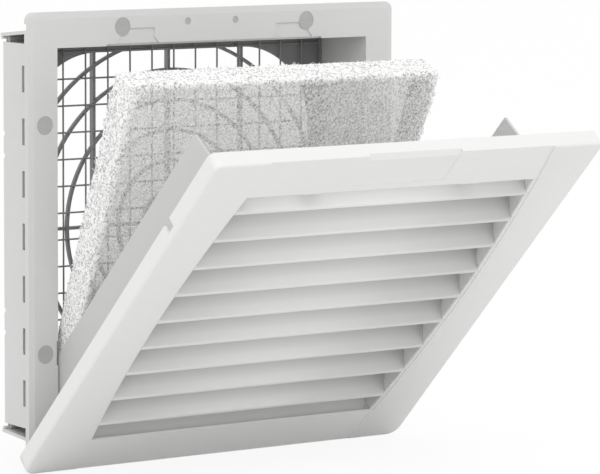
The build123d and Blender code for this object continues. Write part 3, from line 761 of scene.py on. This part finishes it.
class UNIT_OT_filter_mat(bpy.types.Operator):
    """Build the filter mat as an uneven slab of bonded fibre with loose fibres on its skin"""
    bl_idname = "filter_unit.filter_mat"
    bl_label = "Build Filter Mat"

    def execute(self, context):
        size = context.scene.unit_mat
        felt = mat_material(context.scene.unit_finish)
        low, high = MAT_BOX
        extent = (high - low) - Vector((MAT_MARGIN,) * 3)
        lean = turn_about(MAT_PIVOT, MAT_ANGLE) @ Matrix.Translation((low + high) / 2)
        mesh = self.slab(extent, size)
        strands = self.strands(mesh, extent, size, lean)
        bmesh.ops.transform(mesh, matrix=lean, verts=mesh.verts)
        mesh.normal_update()
        mat = piece_from(mesh, "filter_mat_felt", "mat", felt)
        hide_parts("filter_mat")
        loose = piece_from(strands, "filter_mat_strands", "mat", felt)
        for piece in (mat, loose):
            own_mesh(piece)
        return {"FINISHED"}

    def slab(self, extent, size):
        """Upright cut-edged slab round the origin, divided into cells, with an uneven skin."""
        mesh = bmesh.new()
        bmesh.ops.create_cube(mesh, size=1.0)
        bmesh.ops.scale(mesh, vec=extent, verts=mesh.verts)
        bmesh.ops.bevel(
            mesh, geom=mesh.edges[:], offset=MAT_BEVEL, affect="EDGES", segments=2,
            profile=0.5, material=-1)
        for axis in range(3):
            normal = Vector((axis == 0, axis == 1, axis == 2))
            cells = round(extent[axis] / size.cell)
            for k in range(1, cells):
                place = normal * (extent[axis] * (k / cells - 0.5))
                geometry = mesh.verts[:] + mesh.edges[:] + mesh.faces[:]
                bmesh.ops.bisect_plane(mesh, geom=geometry, plane_co=place, plane_no=normal)
        mesh.normal_update()
        panel = mesh.verts.layers.float.new("panel")
        moves = []
        for vertex in mesh.verts:
            flat = abs(vertex.normal.y) > BROAD_NORMAL
            vertex[panel] = broadside(vertex.co, extent, size) if flat else 0.0
            moves.append(uneven(vertex.co, vertex.normal, extent, size))
        for vertex, move in zip(mesh.verts, moves):
            vertex.co += move
        for face_made in mesh.faces:
            face_made.smooth = True
        mesh.normal_update()
        return mesh

    def strands(self, mesh, extent, size, lean):
        """Bmesh of loose fibres over the whole skin, thickest on the cut edges."""
        dice = random.Random(FIBRE_SEED)
        panel = mesh.verts.layers.float["panel"]
        faces = mesh.faces[:]
        weights = []
        for face_made in faces:
            on_panel = min(vertex[panel] for vertex in face_made.verts) > 0.5
            weights.append(face_made.calc_area() * (1.0 if on_panel else EDGE_WEIGHT))
        data = bpy.data.curves.new("strand_lines", "CURVE")
        data.dimensions = "3D"
        data.bevel_depth = size.fibre_radius
        data.bevel_resolution = 0
        for face_made in dice.choices(faces, weights, k=size.fibres):
            corners = [v.co for v in face_made.verts]
            shares = [dice.random() + 0.01 for _ in corners]
            spot = sum((c * w for c, w in zip(corners, shares)), Vector()) / sum(shares)
            points = loose_fibre(spot, face_made.normal, extent, size, dice)
            line = data.splines.new("POLY")
            line.points.add(len(points) - 1)
            for point, place in zip(line.points, points):
                point.co = (*(lean @ place), 1.0)
        lines = bpy.data.objects.new("strand_lines", data)
        solid = bpy.data.meshes.new_from_object(lines)
        made = bmesh.new()
        made.from_mesh(solid)
        for spare in (lines, data, solid):
            bpy.data.batch_remove([spare])
        return made


class UNIT_OT_stage(bpy.types.Operator):
    """Set up the pale floor, the soft light and the camera"""
    bl_idname = "filter_unit.stage"
    bl_label = "Set Up Stage"

    def execute(self, context):
        stage = context.scene.unit_stage
        self.floor(stage)
        self.light(context, stage)
        self.camera(context, stage)
        return {"FINISHED"}

    def floor(self, stage):
        """Large pale floor under the unit's lowest point, a more even white to the camera."""
        mesh = bmesh.new()
        bmesh.ops.create_grid(mesh, x_segments=1, y_segments=1, size=FLOOR_SIZE)
        bmesh.ops.translate(mesh, vec=(0, 0, CAD_BOX[0].z - FLOOR_DROP), verts=mesh.verts)
        data = bpy.data.meshes.new("floor")
        mesh.to_mesh(data)
        mesh.free()
        ground = bpy.data.objects.new("floor", data)
        bpy.context.scene.collection.objects.link(ground)
        paper = bpy.data.materials.new("floor_paper")
        paper.use_nodes = True
        tree = paper.node_tree
        shader = tree.nodes["Principled BSDF"]
        shader.inputs["Base Color"].default_value = FLOOR_COLOUR
        shader.inputs["Roughness"].default_value = 0.9
        shader.inputs["Specular IOR Level"].default_value = 0.0
        even = add_node(
            tree, "ShaderNodeEmission", {"Color": WHITE, "Strength": FLOOR_EVEN_STRENGTH})
        seen = add_node(tree, "ShaderNodeLightPath").outputs["Is Camera Ray"]
        share = maths(tree, "MULTIPLY", seen, stage.glow)
        mixed = add_node(
            tree, "ShaderNodeMixShader", {0: share, 1: shader.outputs[0], 2: even.outputs[0]})
        tree.links.new(mixed.outputs[0], tree.nodes["Material Output"].inputs["Surface"])
        data.materials.append(paper)

    def light(self, context, stage):
        """White surround and one large soft lamp above and in front."""
        world = bpy.data.worlds.new("surround")
        world.use_nodes = True
        background = world.node_tree.nodes["Background"]
        background.inputs["Color"].default_value = WHITE
        background.inputs["Strength"].default_value = stage.sky
        context.scene.world = world
        lamp = bpy.data.lights.new("key", "AREA")
        lamp.shape = "RECTANGLE"
        lamp.size, lamp.size_y = LAMP_SIZE
        lamp.energy = stage.key_light
        made = bpy.data.objects.new("key", lamp)
        context.scene.collection.objects.link(made)
        made.location = LAMP_PLACE
        ahead = Vector((0, 0, 0)) - made.location
        made.rotation_euler = ahead.to_track_quat("-Z", "Y").to_euler()
        context.scene.view_settings.view_transform = "Standard"

    def camera(self, context, stage):
        """Long-lens camera at its viewing angle."""
        made = bpy.data.objects.new("camera", bpy.data.cameras.new("camera"))
        context.scene.collection.objects.link(made)
        made.data.lens = stage.lens
        made.data.sensor_width = SENSOR_WIDTH
        made.data.clip_end = CLIP_END
        a, e = stage.azimuth, stage.elevation
        ahead = Vector((math.sin(a) * math.cos(e), math.cos(a) * math.cos(e), -math.sin(e)))
        made.location = Vector(stage.aim) - ahead * stage.distance
        turn = ahead.to_track_quat("-Z", "Y").to_matrix().to_4x4()
        made.rotation_euler = (turn @ Matrix.Rotation(stage.roll, 4, "Z")).to_euler()
        context.scene.camera = made


class UNIT_PT_panel(bpy.types.Panel):
    """Lists the unit's settings and the operators that build it"""
    bl_idname = "UNIT_PT_panel"
    bl_label = "Filter Unit"
    bl_space_type = "VIEW_3D"
    bl_region_type = "UI"
    bl_category = "Filter Unit"

    def draw(self, context):
        for name, kind in GROUPS.items():
            column = self.layout.column()
            column.label(text=kind.__doc__)
            for field in kind.__annotations__:
                column.prop(getattr(context.scene, name), field)
        for operator in OPERATORS:
            self.layout.operator(operator.bl_idname)


OPERATORS = (
    UNIT_OT_stage,
    UNIT_OT_frame_finish,
    UNIT_OT_grille_finish,
    UNIT_OT_cover_finish,
    UNIT_OT_louvres,
    UNIT_OT_filter_mat,
)


def register():
    for kind in (*GROUPS.values(), *OPERATORS, UNIT_PT_panel):
        bpy.utils.register_class(kind)
    for name, kind in GROUPS.items():
        setattr(bpy.types.Scene, name, bpy.props.PointerProperty(type=kind))


def unregister():
    for name in GROUPS:
        delattr(bpy.types.Scene, name)
    for kind in (UNIT_PT_panel, *reversed(OPERATORS), *reversed(list(GROUPS.values()))):
        bpy.utils.unregister_class(kind)


def main():
    register()
    for operator in OPERATORS:
        group, name = operator.bl_idname.split(".")
        getattr(getattr(bpy.ops, group), name)()


if __name__ == "__main__":
    main()
